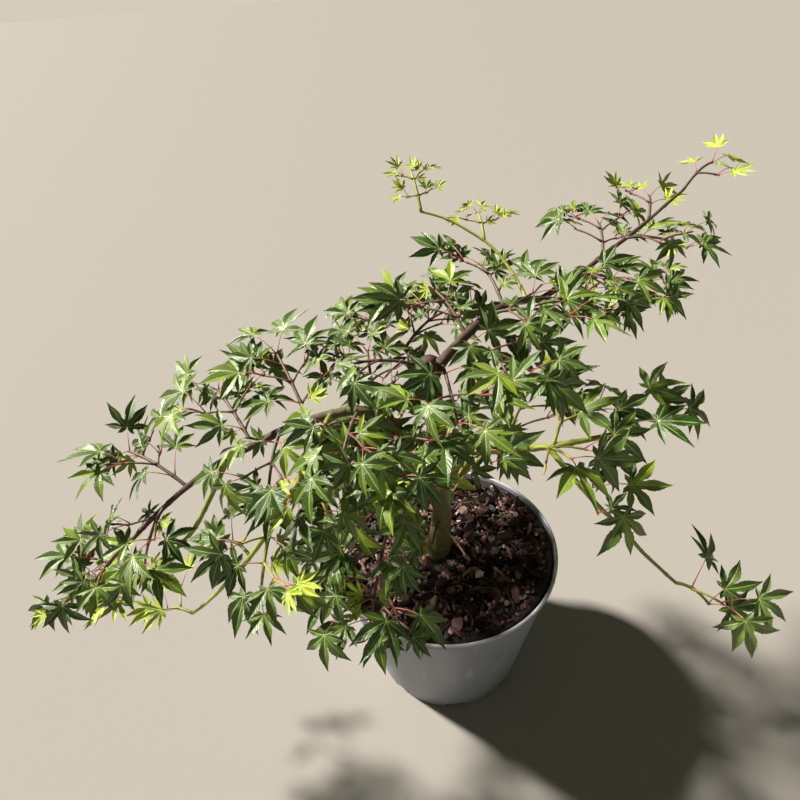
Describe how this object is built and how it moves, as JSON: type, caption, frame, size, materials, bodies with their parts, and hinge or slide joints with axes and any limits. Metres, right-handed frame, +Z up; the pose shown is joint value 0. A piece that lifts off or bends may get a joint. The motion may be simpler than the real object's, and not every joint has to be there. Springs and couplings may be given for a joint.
{
  "type": "potted japanese maple",
  "caption": "Young spreading maple with palmate leaves on arching boughs, in a round tapered nursery pot topped with bark mulch.",
  "frame": {"origin": "centre of the pot's flat underside", "axes": "+Z up, +X towards the right of the picture, where the longest bough and the widest reach of the crown lie, +Y away from the picture's viewpoint"},
  "size_m": [0.832, 0.4987, 0.5924],
  "materials": {
    "pot_plastic": "light grey-blue satin plastic",
    "bark_mulch": "damp shredded bark",
    "grey_bark": "smooth grey-brown bark with green patches",
    "green_bark": "smooth yellow-green young bark",
    "leaves": "soft satin leaf",
    "young_leaves": "soft satin leaf, lime green"
  },
  "bodies": {
    "root": {"back_bough": "grey_bark", "back_bough_foliage_1": "leaves", "back_bough_foliage_2": "leaves", "back_bough_foliage_3": "leaves", "bark_mulch": "bark_mulch", "front_bough": "grey_bark", "front_bough_foliage_1": "leaves", "front_bough_foliage_2": "leaves", "front_bough_foliage_3": "leaves", "front_bough_foliage_4": "leaves", "left_bough": "grey_bark", "left_bough_foliage_1": "leaves", "left_bough_foliage_2": "leaves", "left_bough_foliage_3": "leaves", "left_bough_foliage_4": "leaves", "left_bough_foliage_5": "leaves", "left_bough_foliage_6": "leaves", "left_drooper": "green_bark", "left_drooper_foliage_1": "young_leaves", "left_hanger": "green_bark", "left_hanger_foliage_1": "leaves", "left_hanger_foliage_2": "leaves", "left_hanger_foliage_3": "leaves", "left_hanger_foliage_4": "young_leaves", "left_leader": "grey_bark", "left_leader_foliage_1": "leaves", "left_leader_foliage_2": "leaves", "left_leader_foliage_3": "leaves", "left_leader_foliage_4": "leaves", "pot": "pot_plastic", "right_bough": "grey_bark", "right_bough_foliage_1": "leaves", "right_bough_foliage_2": "leaves", "right_bough_foliage_3": "leaves", "right_bough_foliage_4": "leaves", "right_bough_foliage_5": "leaves", "right_bough_foliage_6": "leaves", "right_drooper": "green_bark", "right_drooper_foliage_1": "leaves", "right_drooper_foliage_2": "leaves", "right_low": "green_bark", "right_low_foliage_1": "leaves", "right_low_foliage_2": "leaves", "right_low_foliage_3": "leaves", "right_low_foliage_4": "leaves", "right_low_foliage_5": "leaves", "right_outer": "grey_bark", "right_outer_foliage_1": "young_leaves", "right_outer_foliage_2": "leaves", "right_outer_foliage_3": "leaves", "right_outer_foliage_4": "leaves", "right_outer_foliage_5": "young_leaves", "top_shoot": "green_bark", "top_shoot_foliage_1": "young_leaves", "top_shoot_foliage_2": "young_leaves", "trunk": "grey_bark", "trunk_foliage_1": "leaves", "trunk_foliage_2": "leaves", "trunk_foliage_3": "leaves"}
  },
  "joints": []
}
